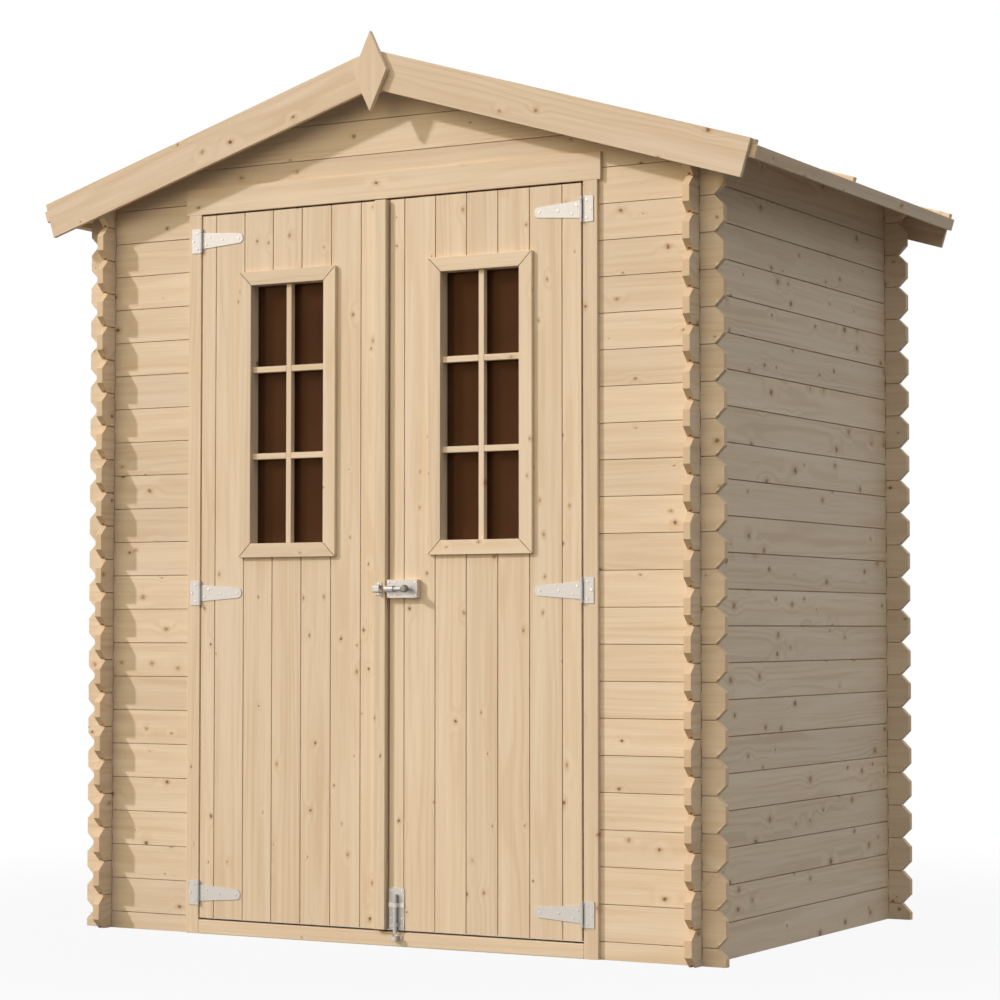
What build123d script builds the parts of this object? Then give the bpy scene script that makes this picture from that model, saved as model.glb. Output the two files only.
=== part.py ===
# A small wooden garden shed: walls of boards that cross in notches at the corners, a double
# door with two small windows, and a low gable roof with barge boards and diamond finials.
# Millimetres. +Z is up, the doors face -Y, and +X is to the right of someone facing them.
# The origin lies on the ground under the middle of the roof.

import os
from math import cos, radians, sin, tan

from build123d import *

# Wall boards
wall_width = 1728.0  # over the outer faces of the side walls
wall_depth = 1210.0  # over the outer faces of the front and back walls
wall_height = 1936.0  # of the side walls, at their outer faces
side_courses = 22  # whole boards in a side wall
board_thickness = 19.0
front_stub = 62.0  # length of the front and back boards past the side walls
side_stub = 55.0  # length of the side boards past the front and back walls
stub_chamfer = 24.0  # cut off the top and bottom corner of every board end
neck_share = 0.5  # share of a side board's height that is left where it crosses another

# Roof
roof_pitch = 16.9  # degrees
deck_thickness = 16.0
eave_overhang = 162.0  # along the slope, past the outer face of the side wall
gable_overhang = 57.0  # of the deck, past the outer face of the front and back walls
fascia_height = 31.5
fascia_thickness = 17.0
batten_width = 20.0
batten_thickness = 12.5
batten_setback = 10.0  # of the battens' lower ends from the fascia's outer face
middle_batten_place = 617.0  # from the front edge of the deck to the batten's middle
barge_width = 94.5
barge_thickness = 12.0
finial_width = 98.0
finial_height = 203.5
finial_thickness = 14.0
finial_rise = 45.0  # of its top point over the barge boards' apex
purlin_width = 45.0
purlin_depth = 67.0  # below the apex of the deck's underside

# Door frame
door_courses = 21  # whole boards beside the doorway, on top of a half board
door_clear_width = 1120.0  # between the jambs
jamb_width = 38.5
jamb_web = 12.0  # the part of a jamb or head that covers the cut edges of the wall boards
frame_thickness = 10.0  # of the frame in front of the wall, and behind it
head_height = 68.0
head_drop = 30.0  # of the head's lower edge below the boards that it carries
head_ear = 9.0  # length of the head past each jamb
threshold_height = 36.0

# Door leaves
leaf_thickness = 15.0
leaf_gap = 5.0  # round each leaf
meeting_gap = 5.0  # between the two leaves
meeting_place = -4.0  # of the joint strip's middle from the middle of the doorway
strip_width = 33.0
strip_thickness = 15.0
ledge_width = 70.0
ledge_thickness = 15.0
ledge_inset = 25.0  # from the leaf's edges to the ledge's ends

# Windows
window_width = 221.0
window_height = 664.0
window_place = 282.5  # from the middle of the joint strip to the middle of the window
window_drop = 191.0  # from the top of the leaf to the top of the glass
trim_width = 36.0
trim_thickness = 10.0
rear_trim_thickness = 15.0
glass_setback = 10.0  # of the glass from the back of the leaf's boards
glass_thickness = 4.0

# T hinges
hinge_end_inset = 64.0  # from the end of the leaf to the middle of the hinge
hinge_window_drop = 126.0  # from the glass down to the middle of the middle hinge
hinge_sheet = 2.0  # thickness of the metal
hinge_plate_width = 27.0
hinge_plate_height = 63.0
knuckle_radius = 3.5
knuckle_lift = 0.5  # clear of the wood behind it
knuckle_gap = 0.5  # between one knuckle and the next
pin_radius = 1.8
pin_clearance = 0.3
plate_relief = 4.5  # from the pin to the plate's edge, beside the strap's knuckle
strap_length = 129.0  # from the pin to the tip
strap_root = 43.0  # height at the pin
strap_tip_radius = 12.0

# Both bolts
bolt_sheet = 2.0  # thickness of the metal of plates and keeps
bolt_radius = 5.0
bolt_clearance = 0.4  # round the rod in its guides
bolt_travel = 30.0
guide_wall = 2.0
keep_clearance = 2.0  # round the rod in its keep
keep_foot = 7.0

# Latch across the meeting line
latch_rise = 7.0  # of the rod over the middle hinges
latch_block_thickness = 13.0
latch_length = 88.5
latch_height = 45.5
latch_guide_length = 24.5
latch_tip_reach = 3.0  # of the drawn rod's tip past the end of its plate
latch_keep_length = 18.0
latch_keep_inset = 8.5  # of the keep from the strip's edge
knob_radius = 9.5
knob_length = 22.0
knob_rounding = 5.0

# Bolt at the foot of the right leaf
foot_plate_width = 44.5
foot_plate_height = 104.0
foot_guide_height = 11.0
foot_lower_guide_place = 8.0  # above the lower end of the plate
foot_upper_guide_place = 56.0
foot_rod_length = 96.0
foot_tip_reach = 8.0  # of the drawn rod's tip past the end of its plate
foot_keep_height = 10.5
foot_keep_drop = 9.0  # below the top of the threshold

# Places of the walls and the roof
half_width = wall_width / 2
half_depth = wall_depth / 2
board_cover = wall_height / side_courses  # height that one board adds to a wall
half_board = board_cover / 2
front_face = -half_depth
front_inner_face = front_face + board_thickness
slope_rise = tan(radians(roof_pitch))
slope_cos = cos(radians(roof_pitch))
slope_sin = sin(radians(roof_pitch))
ridge_underside = wall_height + half_width * slope_rise
deck_length = half_width / slope_cos + eave_overhang
deck_front = front_face - gable_overhang
deck_back = half_depth + gable_overhang
barge_top = deck_thickness + batten_thickness

# Places of the door
half_door = door_clear_width / 2
doorway_edge = half_door + jamb_web
doorway_top = half_board + board_cover * door_courses
frame_face = front_face - frame_thickness
frame_back = front_inner_face + frame_thickness
frame_reach = half_door + jamb_width
head_bottom = doorway_top - head_drop
web_bottom = doorway_top - jamb_web
leaf_back = frame_face + leaf_thickness
leaf_bottom = threshold_height + leaf_gap
leaf_top = head_bottom - leaf_gap
outer_leaf_edge = half_door - leaf_gap
left_leaf_edge = meeting_place + strip_width / 2
right_leaf_edge = left_leaf_edge + meeting_gap
strip_face = frame_face - strip_thickness
window_top = leaf_top - window_drop
window_bottom = window_top - window_height
middle_hinge_height = window_bottom - hinge_window_drop
hinge_heights = [leaf_bottom + hinge_end_inset, middle_hinge_height, leaf_top - hinge_end_inset]
pin_place = half_door - leaf_gap / 2
pin_depth = frame_face - knuckle_lift - knuckle_radius

# Places of the bolts
guide_bore = bolt_radius + bolt_clearance
guide_radius = guide_bore + guide_wall
keep_bore = bolt_radius + keep_clearance
plate_start = right_leaf_edge
latch_block_face = frame_face - latch_block_thickness
latch_plate_face = latch_block_face - bolt_sheet
latch_rod_depth = latch_plate_face - guide_radius
latch_rod_height = middle_hinge_height + latch_rise
foot_plate_face = frame_face - bolt_sheet
foot_plate_bottom = leaf_bottom
foot_rod_depth = foot_plate_face - guide_radius
foot_rod_place = plate_start + foot_plate_width / 2


# Shapes that several pieces use

def block(x_span, y_span, z_span):
    spans = (x_span, y_span, z_span)
    sizes = [max(span) - min(span) for span in spans]
    middles = [sum(span) / 2 for span in spans]
    return Pos(*middles) * Box(*sizes)


def slab_across(outline, y_span):
    """A flat piece that faces front and back, from an outline of (x, z) points."""
    face = make_face(Polyline(*[(x, min(y_span), z) for x, z in outline], close=True))
    return extrude(face, amount=max(y_span) - min(y_span), dir=(0, 1, 0))


def slab_along(outline, x_span):
    """A flat piece that faces left and right, from an outline of (y, z) points."""
    face = make_face(Polyline(*[(min(x_span), y, z) for y, z in outline], close=True))
    return extrude(face, amount=max(x_span) - min(x_span), dir=(1, 0, 0))


def slab_up(outline, z_span):
    """A piece of one section all the way up, from an outline of (x, y) points."""
    face = make_face(Polyline(*[(x, y, min(z_span)) for x, y in outline], close=True))
    return extrude(face, amount=max(z_span) - min(z_span), dir=(0, 0, 1))


def rod_across(radius, x_span, y, z):
    turned = Rot(0, 90, 0) * Cylinder(radius, max(x_span) - min(x_span))
    return Pos(sum(x_span) / 2, y, z) * turned


def rod_up(radius, x, y, z_span):
    return Pos(x, y, sum(z_span) / 2) * Cylinder(radius, max(z_span) - min(z_span))


def around(middle, size):
    return (middle - size / 2, middle + size / 2)


def to_left(shape):
    """The left-hand twin of a right-hand piece."""
    return mirror(shape, about=Plane.YZ)


def to_back(shape):
    """The twin at the back of a piece at the front."""
    return mirror(shape, about=Plane.XZ)


def save(name, *solids):
    shape = solids[0] if len(solids) == 1 else Compound(children=list(solids))
    export_step(shape, f"parts/{name}.step")


os.makedirs("parts", exist_ok=True)

# Roof pieces, in one slope's own directions: along it from the ridge, and above its underside

def slope_point(along, above):
    x = along * slope_cos + above * slope_sin
    z = ridge_underside - along * slope_sin + above * slope_cos
    return (x, z)


def ridge_to_eave(low, high, length, y_span):
    """A right-hand piece from a plumb cut at the ridge down to a square end at the eave."""
    outline = [
        slope_point(-low * slope_rise, low),
        slope_point(length, low),
        slope_point(length, high),
        slope_point(-high * slope_rise, high),
    ]
    return slab_across(outline, y_span)


deck_span = (deck_front, deck_back)
deck = ridge_to_eave(0, deck_thickness, deck_length, deck_span)
save("roof_deck_right", deck)
save("roof_deck_left", to_left(deck))

fascia_end = deck_length + fascia_thickness
fascia_low = deck_thickness - fascia_height
fascia_outline = [
    slope_point(deck_length, fascia_low),
    slope_point(fascia_end, fascia_low),
    slope_point(fascia_end, deck_thickness),
    slope_point(deck_length, deck_thickness),
]
fascia = slab_across(fascia_outline, deck_span)
save("eave_fascia_right", fascia)
save("eave_fascia_left", to_left(fascia))

batten_spans = [
    (deck_front, deck_front + batten_width),
    around(deck_front + middle_batten_place, batten_width),
    (deck_back - batten_width, deck_back),
]
batten_length = fascia_end - batten_setback
battens = [ridge_to_eave(deck_thickness, barge_top, batten_length, span) for span in batten_spans]
save("roof_battens_right", *battens)
save("roof_battens_left", *[to_left(batten) for batten in battens])

barge_front = deck_front - barge_thickness
barge = ridge_to_eave(barge_top - barge_width, barge_top, deck_length, (barge_front, deck_front))
save("front_barge_right", barge)
save("front_barge_left", to_left(barge))
save("back_barge_right", to_back(barge))
save("back_barge_left", to_left(to_back(barge)))

barge_apex = ridge_underside + barge_top / slope_cos
finial_top = barge_apex + finial_rise
finial_middle = finial_top - finial_height / 2
diamond = [
    (0, finial_top - finial_height),
    (finial_width / 2, finial_middle),
    (0, finial_top),
    (-finial_width / 2, finial_middle),
]
finial = slab_across(diamond, (barge_front - finial_thickness, barge_front))
save("front_finial", finial)
save("back_finial", to_back(finial))

half_purlin = purlin_width / 2
purlin_shoulder = ridge_underside - half_purlin * slope_rise
purlin_outline = [
    (half_purlin, ridge_underside - purlin_depth),
    (half_purlin, purlin_shoulder),
    (0, ridge_underside),
    (-half_purlin, purlin_shoulder),
    (-half_purlin, ridge_underside - purlin_depth),
]
ridge_purlin = slab_across(purlin_outline, deck_span)
save("ridge_purlin", ridge_purlin)

# Walls. The courses of the front and back start with a half board, so they lie half a board
# off those of the sides, and each board's neck fills the notches of the boards that it crosses.
front_reach = half_width + front_stub
side_reach = half_depth + side_stub
front_span = (front_face, front_inner_face)
back_span = (half_depth - board_thickness, half_depth)
right_span = (half_width - board_thickness, half_width)
left_span = (-half_width, board_thickness - half_width)
side_seams = [board_cover * course for course in range(side_courses + 1)]
front_seams = [0] + [half_board + board_cover * course for course in range(side_courses)]


def board_ends(reach, seams, foot_cut):
    """Points up the ends of a stack of boards, with the corners of each end cut off."""
    points = [(reach - foot_cut, seams[0])]
    for low, high in zip(seams, seams[1:]):
        if points[-1][0] < reach:
            points.append((reach, low + stub_chamfer))
        points += [(reach, high - stub_chamfer), (reach - stub_chamfer, high)]
    return points


def both_ends(right_points):
    """A whole outline, from the points up its right-hand end."""
    return right_points + [(-across, height) for across, height in reversed(right_points)]


def gable_ends(seams, foot_cut):
    """Points up the right-hand end of a wall that runs up to the ridge."""
    top_board = [(front_reach, seams[-1] + stub_chamfer), (front_reach, ridge_underside)]
    return board_ends(front_reach, seams, foot_cut) + top_board


# All that lies below the underside of the deck
eave_point = slope_point(deck_length, 0)
roof_side = [(eave_point[0], 0), eave_point, (0, ridge_underside)]
under_roof = slab_across(roof_side + [(-eave_point[0], eave_point[1]), (-eave_point[0], 0)], deck_span)

side_neck = board_cover * neck_share
front_neck = board_cover - side_neck
side_neck_spans = [around(seam + half_board, side_neck) for seam in side_seams]
front_neck_spans = [around(seam, front_neck) for seam in side_seams]
side_necks = [block(x_span, y_span, z_span) for z_span in side_neck_spans
              for x_span in (left_span, right_span) for y_span in (front_span, back_span)
              if max(z_span) < wall_height]
front_necks = [block(x_span, y_span, z_span) for z_span in front_neck_spans
               for x_span in (left_span, right_span) for y_span in (front_span, back_span)]

lower_seams = [seam for seam in front_seams if seam <= doorway_top]
upper_seams = [seam for seam in front_seams if seam >= doorway_top]

beside_door = board_ends(front_reach, lower_seams, 0)
front_wall = slab_across([(doorway_edge, 0)] + beside_door + [(doorway_edge, doorway_top)], front_span)
front_wall = front_wall - side_necks
save("front_wall_right", front_wall)
save("front_wall_left", to_left(front_wall))

front_gable = slab_across(both_ends(gable_ends(upper_seams, stub_chamfer)), front_span) & under_roof
save("front_gable", front_gable - side_necks - ridge_purlin)

back_wall = slab_across(both_ends(gable_ends(front_seams, 0)), back_span) & under_roof
save("back_wall", back_wall - side_necks - ridge_purlin)

side_ends = board_ends(side_reach, side_seams, stub_chamfer)
side_top = wall_height + board_thickness * slope_rise
side_bevel = [(side_reach - stub_chamfer, side_top)]
right_wall = slab_along(both_ends(side_ends + side_bevel), right_span) & under_roof
right_wall = right_wall - front_necks
save("right_wall", right_wall)
save("left_wall", to_left(right_wall))

# Door frame: grooved jambs and a grooved head that grip the cut edges of the wall boards
jamb_front = block((half_door, frame_reach), (frame_face, front_face), (0, head_bottom))
jamb_core = block((half_door, doorway_edge), front_span, (0, web_bottom))
jamb_rear = block((half_door, frame_reach), (front_inner_face, frame_back), (0, web_bottom))
jamb = jamb_front + jamb_core + jamb_rear
save("door_jamb_right", jamb)
save("door_jamb_left", to_left(jamb))

head_reach = frame_reach + head_ear
head_z_span = (head_bottom, head_bottom + head_height)
head_rear_z_span = (web_bottom, web_bottom + jamb_width)
head_front = block((-head_reach, head_reach), (frame_face, front_face), head_z_span)
head_core = block((-doorway_edge, doorway_edge), front_span, (web_bottom, doorway_top))
head_rear = block((-frame_reach, frame_reach), (front_inner_face, frame_back), head_rear_z_span)
save("door_head", head_front + head_core + head_rear)

threshold = block((-half_door, half_door), (frame_face, frame_back), (0, threshold_height))
save("door_threshold", threshold)

# Door leaves, each with the ledges that hold its boards, and a window in a trim on both faces
leaf_spans = {
    "left": (-outer_leaf_edge, left_leaf_edge),
    "right": (right_leaf_edge, outer_leaf_edge),
}
window_middles = {"left": meeting_place - window_place, "right": meeting_place + window_place}
glass_front = leaf_back + glass_setback
glass_y_span = (glass_front, glass_front + glass_thickness)
glass_z_span = (window_bottom, window_top)
trim_z_span = (window_bottom - trim_width, window_top + trim_width)

for side, leaf_span in leaf_spans.items():
    glass_x_span = around(window_middles[side], window_width)
    trim_x_span = around(window_middles[side], window_width + trim_width + trim_width)
    hole = block(glass_x_span, (strip_face, frame_back), glass_z_span)
    leaf = block(leaf_span, (frame_face, leaf_back), (leaf_bottom, leaf_top))
    save(f"{side}_door_leaf", leaf - hole)

    ledge_x_span = (leaf_span[0] + ledge_inset, leaf_span[1] - ledge_inset)
    ledge_y_span = (leaf_back, leaf_back + ledge_thickness)
    ledges = [block(ledge_x_span, ledge_y_span, around(height, ledge_width)) for height in hinge_heights]
    save(f"{side}_door_ledges", *ledges)

    trim_front = block(trim_x_span, (frame_face - trim_thickness, frame_face), trim_z_span)
    trim_rear = block(trim_x_span, (leaf_back, leaf_back + rear_trim_thickness), trim_z_span)
    save(f"{side}_window_frame", trim_front - hole, trim_rear - hole)
    save(f"{side}_window_glass", block(glass_x_span, glass_y_span, glass_z_span))

strip_x_span = around(meeting_place, strip_width)
save("meeting_strip", block(strip_x_span, (strip_face, frame_face), (leaf_bottom, leaf_top)))

# T hinges: a plate with the pin and two knuckles on the jamb, and a strap with the middle
# knuckle on the leaf

def hinge_plate(height):
    sheet_span = (frame_face - hinge_sheet, frame_face)
    near_edge = pin_place + plate_relief
    plate_z_span = around(height, hinge_plate_height)
    plate = block((near_edge, near_edge + hinge_plate_width), sheet_span, plate_z_span)
    plate += rod_up(pin_radius, pin_place, pin_depth, plate_z_span)
    knuckle_start = strap_root / 2 + knuckle_gap
    for z_span in [
        (height + knuckle_start, max(plate_z_span)),
        (min(plate_z_span), height - knuckle_start),
    ]:
        plate += block((pin_place, near_edge), sheet_span, z_span)
        plate += rod_up(knuckle_radius, pin_place, pin_depth, z_span)
    return plate


def hinge_strap(height):
    tip_middle = pin_place - strap_length + strap_tip_radius
    taper = make_face(
        Polyline(
            (tip_middle, frame_face, height + strap_tip_radius),
            (pin_place, frame_face, height + strap_root / 2),
            (pin_place, frame_face, height - strap_root / 2),
            (tip_middle, frame_face, height - strap_tip_radius),
        )
        + ThreePointArc(
            (tip_middle, frame_face, height - strap_tip_radius),
            (tip_middle - strap_tip_radius, frame_face, height),
            (tip_middle, frame_face, height + strap_tip_radius),
        )
    )
    strap = extrude(taper, amount=hinge_sheet, dir=(0, -1, 0))
    knuckle_z_span = around(height, strap_root)
    strap += rod_up(knuckle_radius, pin_place, pin_depth, knuckle_z_span)
    return strap - rod_up(pin_radius + pin_clearance, pin_place, pin_depth, knuckle_z_span)


plates = [hinge_plate(height) for height in hinge_heights]
save("right_hinge_plates", *plates)
save("left_hinge_plates", *[to_left(plate) for plate in plates])

straps = [hinge_strap(height) for height in hinge_heights]
save("right_hinge_straps", *straps)
save("left_hinge_straps", *[to_left(strap) for strap in straps])


# Bolts and their keeps

def keep_outline(middle, face, rod_depth):
    """A bent strap round a rod, in points across the rod and out from the face it is fixed to."""
    inner = keep_bore
    outer = inner + bolt_sheet
    foot = outer + keep_foot
    sheet_face = face - bolt_sheet
    half = [
        (foot, sheet_face),
        (foot, face),
        (inner, face),
        (inner, rod_depth - inner),
    ]
    other_half = [(-across, out) for across, out in reversed(half)]
    crown = [
        (-outer, sheet_face),
        (-outer, rod_depth - outer),
        (outer, rod_depth - outer),
        (outer, sheet_face),
    ]
    return [(middle + across, out) for across, out in half + other_half + crown]


latch_x_span = (plate_start, plate_start + latch_length)
latch_z_span = around(latch_rod_height, latch_height)
save("latch_block", block(latch_x_span, (latch_block_face, frame_face), latch_z_span))

guide_x_span = (plate_start, plate_start + latch_guide_length)
guide_z_span = (latch_rod_height - guide_radius, latch_rod_height + guide_radius)
latch_plate = block(latch_x_span, (latch_plate_face, latch_block_face), latch_z_span)
latch_plate += block(guide_x_span, (latch_rod_depth, latch_plate_face), guide_z_span)
latch_plate += rod_across(guide_radius, guide_x_span, latch_rod_depth, latch_rod_height)
latch_plate -= rod_across(guide_bore, guide_x_span, latch_rod_depth, latch_rod_height)
save("latch_plate", latch_plate)

knob_place = max(guide_x_span) + bolt_travel + knob_radius
latch_rod_span = (plate_start - latch_tip_reach, knob_place)
knob = Rot(90, 0, 0) * Cylinder(knob_radius, knob_length)
knob = fillet(knob.edges().group_by(Axis.Y)[0], knob_rounding)
knob = Pos(knob_place, latch_rod_depth - knob_length / 2, latch_rod_height) * knob
save("latch_bolt", rod_across(bolt_radius, latch_rod_span, latch_rod_depth, latch_rod_height) + knob)

latch_keep_end = left_leaf_edge - latch_keep_inset
latch_keep = [(y, z) for z, y in keep_outline(latch_rod_height, strip_face, latch_rod_depth)]
save("latch_keep", slab_along(latch_keep, (latch_keep_end - latch_keep_length, latch_keep_end)))

foot_x_span = (plate_start, plate_start + foot_plate_width)
foot_z_span = (foot_plate_bottom, foot_plate_bottom + foot_plate_height)
foot_plate = block(foot_x_span, (foot_plate_face, frame_face), foot_z_span)
for place in (foot_lower_guide_place, foot_upper_guide_place):
    z_span = (foot_plate_bottom + place, foot_plate_bottom + place + foot_guide_height)
    guide_foot = (foot_rod_place - guide_radius, foot_rod_place + guide_radius)
    foot_plate += block(guide_foot, (foot_rod_depth, foot_plate_face), z_span)
    foot_plate += rod_up(guide_radius, foot_rod_place, foot_rod_depth, z_span)
    foot_plate -= rod_up(guide_bore, foot_rod_place, foot_rod_depth, z_span)
save("foot_bolt_plate", foot_plate)

foot_rod_bottom = foot_plate_bottom - foot_tip_reach
foot_rod_span = (foot_rod_bottom, foot_rod_bottom + foot_rod_length)
save("foot_bolt", rod_up(bolt_radius, foot_rod_place, foot_rod_depth, foot_rod_span))

foot_keep_top = threshold_height - foot_keep_drop
foot_keep = keep_outline(foot_rod_place, frame_face, foot_rod_depth)
save("foot_bolt_keep", slab_up(foot_keep, (foot_keep_top - foot_keep_height, foot_keep_top)))
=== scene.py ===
import math
import random

import bmesh
import bpy
from mathutils import Matrix, Vector


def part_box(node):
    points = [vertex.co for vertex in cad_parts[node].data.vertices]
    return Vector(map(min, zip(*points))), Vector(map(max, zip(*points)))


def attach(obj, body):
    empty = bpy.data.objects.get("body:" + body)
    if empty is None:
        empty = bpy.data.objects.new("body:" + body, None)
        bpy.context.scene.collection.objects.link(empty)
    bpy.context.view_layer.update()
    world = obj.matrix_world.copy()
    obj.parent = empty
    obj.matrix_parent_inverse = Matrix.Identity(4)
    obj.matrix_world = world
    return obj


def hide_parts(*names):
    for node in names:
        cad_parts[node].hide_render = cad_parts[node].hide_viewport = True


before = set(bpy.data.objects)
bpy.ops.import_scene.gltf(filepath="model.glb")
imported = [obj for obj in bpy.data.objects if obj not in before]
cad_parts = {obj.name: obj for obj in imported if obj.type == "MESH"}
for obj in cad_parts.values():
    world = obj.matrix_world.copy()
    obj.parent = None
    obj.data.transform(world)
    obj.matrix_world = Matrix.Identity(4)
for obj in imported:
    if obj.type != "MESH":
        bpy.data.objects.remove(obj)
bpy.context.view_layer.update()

# Side walls
# Each is a stack of 22 planed spruce boards with tongue and groove. Near both ends the boards are
# notched above and below, so that they lock into the boards of the front and back, and the stub
# that runs past the corner has its upper and lower corner sawn off.
board_thickness, board_cover, board_edge = 0.019, 0.088, 0.0008
side_courses = 22
seam_gap, side_gap = 0.0016, 0.0024
tongue_height, groove_depth = 0.004, 0.006
stub_chamfer = 0.024
notch_depth, notch_play = board_cover / 4, 0.0014
cut_tolerance = 1e-6
sharp_edge = math.radians(30)
roof_pitch = math.radians(16.9)
slope_sin, slope_cos, slope_rise = math.sin(roof_pitch), math.cos(roof_pitch), math.tan(roof_pitch)
wall_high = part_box("right_wall")[1]
side_reach, half_width = wall_high.y, wall_high.x
half_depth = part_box("back_wall")[1].y
front_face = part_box("front_gable")[0].y
sides = ((1, "right"), (-1, "left"))
trees = random.Random(11)


def hold(piece):
    """Selects one piece alone."""
    bpy.ops.object.select_all(action="DESELECT")
    bpy.context.view_layer.objects.active = piece
    piece.select_set(True)


def sawn_block(name, low, high):
    """A rough block between two corners."""
    bpy.ops.object.select_all(action="DESELECT")
    low, high = Vector(low), Vector(high)
    bpy.ops.mesh.primitive_cube_add(size=1, location=(low + high) / 2, scale=high - low)
    bpy.ops.object.transform_apply(location=True, rotation=True, scale=True)
    piece = bpy.context.object
    piece.name = piece.data.name = name
    return piece


def open_up(piece):
    """Goes into edit mode with all of one piece selected."""
    hold(piece)
    bpy.ops.object.mode_set(mode="EDIT")
    bpy.ops.mesh.select_mode(type="FACE")
    bpy.ops.mesh.select_all(action="SELECT")


def saw_off(piece, point, outward, through=True):
    """Saws off what lies beyond a plane and closes the cut, or only scribes a line there."""
    open_up(piece)
    bpy.ops.mesh.bisect(plane_co=point, plane_no=outward, use_fill=through, clear_outer=through,
                        threshold=cut_tolerance)
    bpy.ops.object.mode_set(mode="OBJECT")


def push_faces(piece, wanted, way):
    """Extrudes the faces that are wanted by their middle and normal."""
    open_up(piece)
    bpy.ops.mesh.select_all(action="DESELECT")
    shape = bmesh.from_edit_mesh(piece.data)
    for face in shape.faces:
        face.select_set(wanted(face.calc_center_median(), face.normal))
    bmesh.update_edit_mesh(piece.data)
    bpy.ops.mesh.extrude_region_move(TRANSFORM_OT_translate={"value": way})
    bpy.ops.object.mode_set(mode="OBJECT")


def clear_away(*pieces):
    """Removes tools and patterns that have done their work."""
    for piece in pieces:
        bpy.data.objects.remove(piece)


def combine(piece, tools, operation):
    """Cuts the tools' shapes out of a piece, or unites them with it, and clears the tools away."""
    for tool in tools:
        step = piece.modifiers.new("step", "BOOLEAN")
        step.object, step.operation, step.solver = tool, operation, "EXACT"
        hold(piece)
        bpy.ops.object.modifier_apply(modifier=step.name)
        clear_away(tool)


def rout(piece, *boxes):
    """Cuts blocks, each between two corners, out of a piece."""
    combine(piece, [sawn_block("tool", *box) for box in boxes], "DIFFERENCE")


def ease(piece, width, steps=2):
    """Takes the sharpness off every edge."""
    rounding = piece.modifiers.new("rounding", "BEVEL")
    rounding.width, rounding.segments = width, steps
    rounding.limit_method, rounding.angle_limit = "ANGLE", sharp_edge
    rounding.use_clamp_overlap = False
    hold(piece)
    bpy.ops.object.modifier_apply(modifier=rounding.name)


def stamp_grain(piece, along, across):
    """Gives every point its place along, across and into its own timber, which comes from its own
    part of a tree, and says how dark that timber is."""
    axes = (along, across, 3 - along - across)
    places = [point.co.copy() for point in piece.data.vertices]
    middle = [(min(p[a] for p in places) + max(p[a] for p in places)) / 2 for a in axes]
    heart = (trees.uniform(0, 30), trees.uniform(-0.05, 0.05), trees.uniform(0.03, 0.1))
    tone = trees.random()
    attributes = piece.data.attributes
    attributes.new("grain", "FLOAT_VECTOR", "POINT")
    attributes.new("tone", "FLOAT", "POINT")
    for place, spot, shade in zip(places, attributes["grain"].data, attributes["tone"].data):
        spot.vector = [place[a] - m + h for a, m, h in zip(axes, middle, heart)]
        shade.value = tone


def plane(timber, edge, along, across):
    """Eases a timber's edges and gives it its grain."""
    ease(timber, edge)
    stamp_grain(timber, along, across)
    return timber


def another(piece):
    """A copy with a mesh of its own."""
    twin = piece.copy()
    twin.data = piece.data.copy()
    bpy.context.collection.objects.link(twin)
    return twin


def put_together(name, pieces):
    """Joins pieces to one, with its edges shaded round and its flats shaded flat."""
    bpy.ops.object.select_all(action="DESELECT")
    for piece in pieces:
        piece.select_set(True)
    bpy.context.view_layer.objects.active = pieces[0]
    bpy.ops.object.join()
    whole = bpy.context.object
    whole.name = whole.data.name = name
    bpy.ops.object.shade_smooth_by_angle(angle=sharp_edge)
    level = whole.modifiers.new("level", "WEIGHTED_NORMAL")
    level.keep_sharp = True
    bpy.ops.object.modifier_apply(modifier=level.name)
    return whole


def fit(name, parts, material, body, slot, *nodes):
    """Joins a piece's parts and gives it its material, unless they brought theirs, and its body."""
    piece = put_together(name, parts)
    if not piece.data.materials:
        piece.data.materials.append(material)
    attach(piece, body)
    if nodes:
        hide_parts(*nodes)


def linear(code):
    """An sRGB hex colour as linear values."""
    shares = [int(code[place:place + 2], 16) / 255 for place in (1, 3, 5)]
    return [s / 12.92 if s <= 0.04045 else ((s + 0.055) / 1.055) ** 2.4 for s in shares] + [1]


def feed(node, links):
    """Links each source to the socket that it feeds."""
    for key, (source, output) in links.items():
        node.id_data.links.new(source.outputs[output], node.inputs[key])


def add_node(tree, kind, settings, links=None):
    """Adds a shader node, sets its properties and sockets, and links what feeds it."""
    node = tree.nodes.new("ShaderNode" + kind)
    for key, value in settings.items():
        if isinstance(key, str) and hasattr(node, key):
            setattr(node, key, value)
        else:
            node.inputs[key].default_value = value
    feed(node, links or {})
    return node


def new_material(name):
    """A material with its node tree and its surface shader."""
    material = bpy.data.materials.new(name)
    material.use_nodes = True
    return material, material.node_tree, material.node_tree.nodes["Principled BSDF"]


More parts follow.
